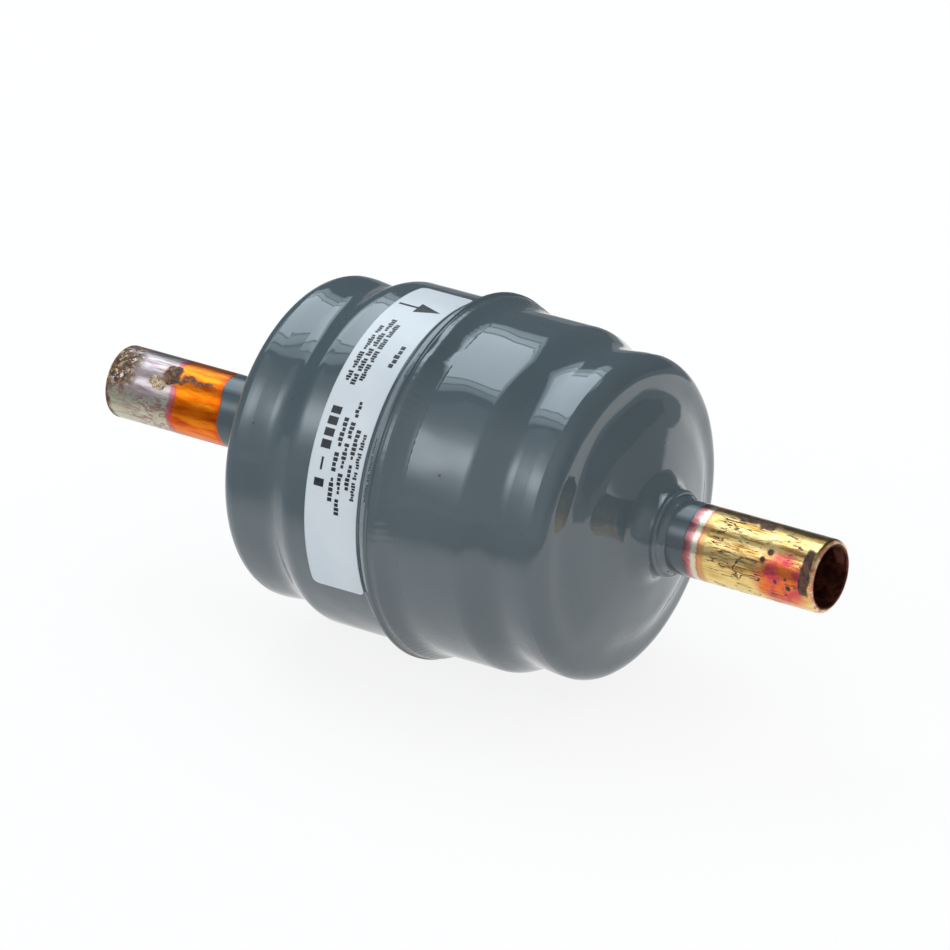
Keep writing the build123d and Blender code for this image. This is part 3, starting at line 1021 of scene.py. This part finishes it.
glow = tree.nodes.new("ShaderNodeEmission")
tree.links.new(grey, glow.inputs["Color"])
tree.links.new(glow.outputs[0], tree.nodes["Material Output"].inputs["Surface"])
room_mesh.materials.append(room_dim)
print("room of", ROOM_SIDES, "sides")

# %% [markdown]
# ## Two softboxes
#
# One large cool softbox hangs above and behind, one stands at the left front. On gloss the shape of a
# lamp is seen, not only its light, and an area lamp has a hard, even edge. Each softbox is therefore
# a sheet that glows by a ramp: the upper one has a bright window in a dimmer frame with a dark seam,
# the front one fades from its middle to the dim of the room, as light through a thick diffuser does.
# A fade that ended darker than the room would show its corners on the enamel.


# %% Softboxes
def softbox(name, place, size, radiance, tint, stops, oval_glow):
    """A glowing sheet that faces the drier. Its ramp runs from the middle (0) to the edge (1)."""
    w, h = size[0] / 2, size[1] / 2
    sheet = stage_sheet(name, [(-w, -h, 0), (w, -h, 0), (w, h, 0), (-w, h, 0)])
    sheet.location = place
    sheet.rotation_euler = Vector(place).to_track_quat("Z", "Y").to_euler()
    sheet.visible_camera = False
    cloth, tree, shader = new_finish(name + "_cloth")
    parts = tree.nodes.new("ShaderNodeSeparateXYZ")
    tree.links.new(add(tree, "TexCoord", output="Object"), parts.inputs[0])
    across = calc(tree, "ABSOLUTE", calc(tree, "DIVIDE", parts.outputs[0], w))
    up = calc(tree, "ABSOLUTE", calc(tree, "DIVIDE", parts.outputs[1], h))
    if oval_glow:
        square = calc(tree, "MULTIPLY_ADD", across, across, calc(tree, "MULTIPLY", up, up))
        out = calc(tree, "SQRT", square)
    else:
        out = calc(tree, "MAXIMUM", across, up)
    glow = tree.nodes.new("ShaderNodeEmission")
    colours = [(at, tuple(value * part for part in tint) + (1,)) for at, value in stops]
    tree.links.new(ramp(tree, out, colours), glow.inputs["Color"])
    glow.inputs["Strength"].default_value = radiance
    tree.links.new(glow.outputs[0], tree.nodes["Material Output"].inputs["Surface"])
    sheet.data.materials.append(cloth)
    print(name, "at", place, "radiance", radiance)
    return sheet


softbox("top_softbox", (-0.6, 0.36, 0.96), (1.1, 1.2), 3.6, (0.78, 0.91, 1.0),
        [(0.0, 1.0), (0.57, 0.95), (0.58, 0.12), (0.6, 0.12), (0.61, 0.66), (0.76, 0.56),
         (0.77, 0.08), (0.79, 0.08), (0.8, 0.4), (0.95, 0.3), (1.0, 0.1)], False)
softbox("front_softbox", (-0.75, -1.0, 0.78), (1.5, 1.45), 3.4, (0.86, 0.94, 1.0),
        [(0.0, 1.0), (0.2, 0.84), (0.42, 0.44), (0.65, 0.22), (0.95, 0.145)], True)

# %% [markdown]
# ## Camera
#
# The drier is seen from the right and from above, through a long lens from far off, so its two ends
# are nearly the same size. The camera is placed by its azimuth, elevation and distance, then moved a
# fraction of a millimetre sideways to frame the picture. A matrix built from its right, up and back
# directions sets it in one step.

# %% Camera
AZIMUTH, ELEVATION, DISTANCE = radians(33.62), radians(24.78), 1.65985
SHIFT_RIGHT, SHIFT_UP = 0.8117, 0.2591  # millimetres
camera_data = bpy.data.cameras.new("camera")
camera_data.sensor_width = 36
camera_data.lens = 373.31
camera = bpy.data.objects.new("camera", camera_data)
bpy.context.collection.objects.link(camera)
right = Vector((cos(AZIMUTH), sin(AZIMUTH), 0))
back = Vector((sin(AZIMUTH) * cos(ELEVATION), -cos(AZIMUTH) * cos(ELEVATION), sin(ELEVATION)))
up = back.cross(right)
place = back * DISTANCE + right * SHIFT_RIGHT * MM + up * SHIFT_UP * MM
camera.matrix_world = Matrix.Translation(place) @ Matrix((right, up, back)).transposed().to_4x4()
bpy.context.scene.camera = camera
bpy.context.scene.view_settings.view_transform = "Standard"
print("camera at", [round(v, 4) for v in place])

# %% [markdown]
#
# The dressed drier has to stay inside the solids' own box, because other people plan with that box.

# %% Size of the solids
print("solids", [[round(v * 1000, 2) for v in corner] for corner in cad_box])
